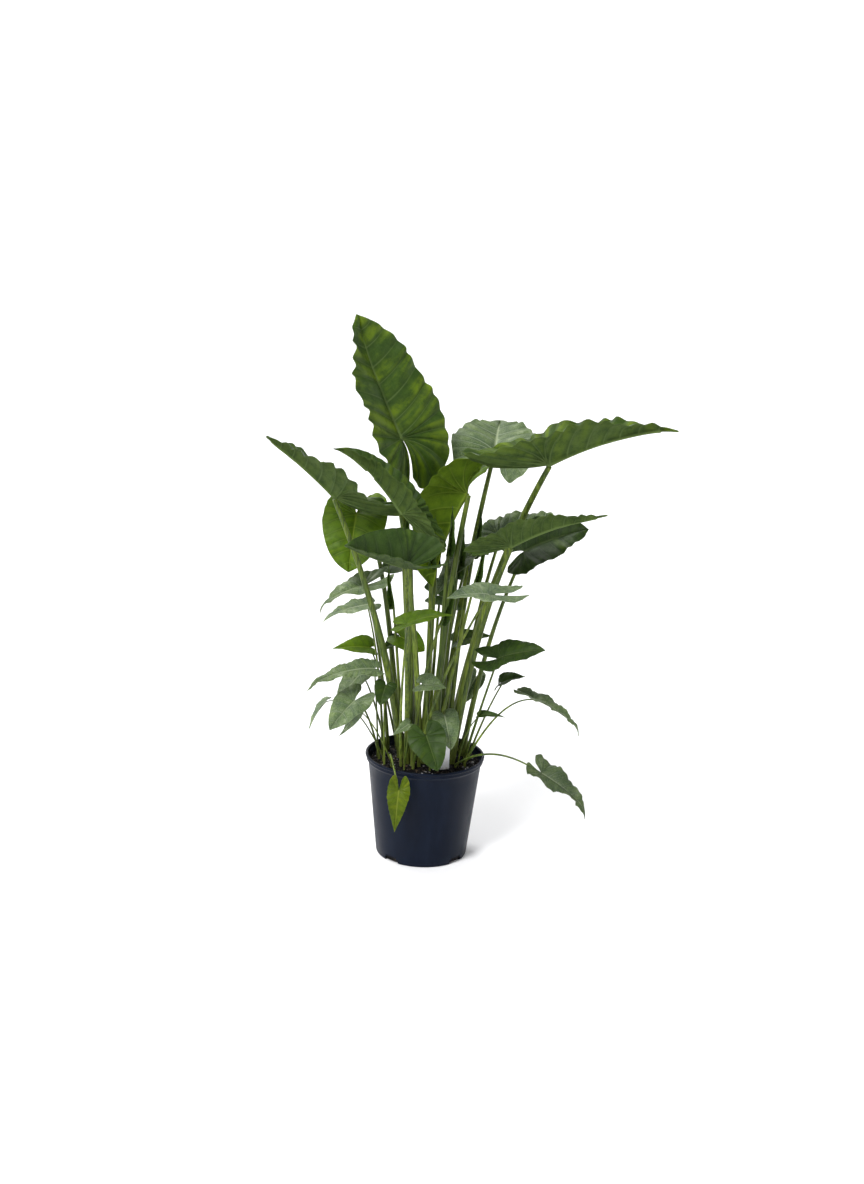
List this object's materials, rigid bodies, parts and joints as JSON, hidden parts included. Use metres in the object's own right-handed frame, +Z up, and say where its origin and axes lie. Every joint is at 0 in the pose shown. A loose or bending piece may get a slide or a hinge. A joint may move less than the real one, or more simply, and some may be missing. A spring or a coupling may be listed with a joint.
{
  "type": "potted alocasia plant",
  "caption": "Tall leafy alocasia in a round tapered nursery pot, with large arrow-shaped leaves on long upright stalks and small heart-shaped leaves low down.",
  "frame": {"origin": "middle of the pot's flat underside, on the surface it stands on", "axes": "+Z up along the pot's axis; -Y towards the side seen in the picture; +X to that view's right"},
  "size_m": [0.8074, 0.6093, 1.1171],
  "materials": {
    "pot_plastic": "very dark blue-grey moulded plastic, satin",
    "bark_soil": "near-black bark and compost mix with small pale grains, rough",
    "label_plastic": "blank white plastic, semi-gloss",
    "leaf_green": "waxy deep green leaf, paler veins, matt paler underside",
    "leaf_dark": "waxy very dark green leaf",
    "leaf_fresh": "thin young leaf, bright yellow-green where light comes through",
    "leaf_grey": "waxy leaf with a grey-green sheen",
    "leaf_pale": "pale grey-green small leaf",
    "leaf_yellow": "ageing yellow-green leaf",
    "stalk": "smooth yellow-green stalk with faint darker streaks"
  },
  "bodies": {
    "root": {"pot": "pot_plastic", "soil": "bark_soil", "plant_label": "label_plastic", "crown_blade": "leaf_green", "crown_stalk": "stalk", "left_high_blade": "leaf_green", "left_high_stalk": "stalk", "left_rolled_blade": "leaf_green", "left_rolled_stalk": "stalk", "left_hanging_blade": "leaf_fresh", "left_hanging_stalk": "stalk", "centre_cupped_blade": "leaf_dark", "centre_cupped_stalk": "stalk", "right_high_blade": "leaf_green", "right_high_stalk": "stalk", "centre_backlit_blade": "leaf_fresh", "centre_backlit_stalk": "stalk", "back_high_blade": "leaf_grey", "back_high_stalk": "stalk", "right_mid_blade": "leaf_green", "right_mid_stalk": "stalk", "right_dark_blade": "leaf_dark", "right_dark_stalk": "stalk", "back_curly_blade": "leaf_grey", "back_curly_stalk": "stalk", "back_slate_blade": "leaf_grey", "back_slate_stalk": "stalk", "front_pale_blade": "leaf_pale", "front_pale_stalk": "stalk", "left_pair_upper_blade": "leaf_grey", "left_pair_upper_stalk": "stalk", "left_pair_lower_blade": "leaf_pale", "left_pair_lower_stalk": "stalk", "centre_small_blade": "leaf_fresh", "centre_small_stalk": "stalk", "right_tail_blade": "leaf_dark", "right_tail_stalk": "stalk", "right_small_blade": "leaf_dark", "right_small_stalk": "stalk", "right_narrow_blade": "leaf_grey", "right_narrow_stalk": "stalk", "right_low_blade": "leaf_grey", "right_low_stalk": "stalk", "over_rim_blade": "leaf_yellow", "over_rim_stalk": "stalk", "front_heart_blade": "leaf_green", "front_heart_stalk": "stalk", "front_heart_small_blade": "leaf_grey", "front_heart_small_stalk": "stalk", "dark_heart_blade": "leaf_dark", "dark_heart_stalk": "stalk", "low_left_heart_blade": "leaf_grey", "low_left_heart_stalk": "stalk", "low_left_back_blade": "leaf_grey", "low_left_back_stalk": "stalk", "mid_left_upper_blade": "leaf_fresh", "mid_left_upper_stalk": "stalk", "mid_left_grey_blade": "leaf_grey", "mid_left_grey_stalk": "stalk"}
  },
  "joints": []
}
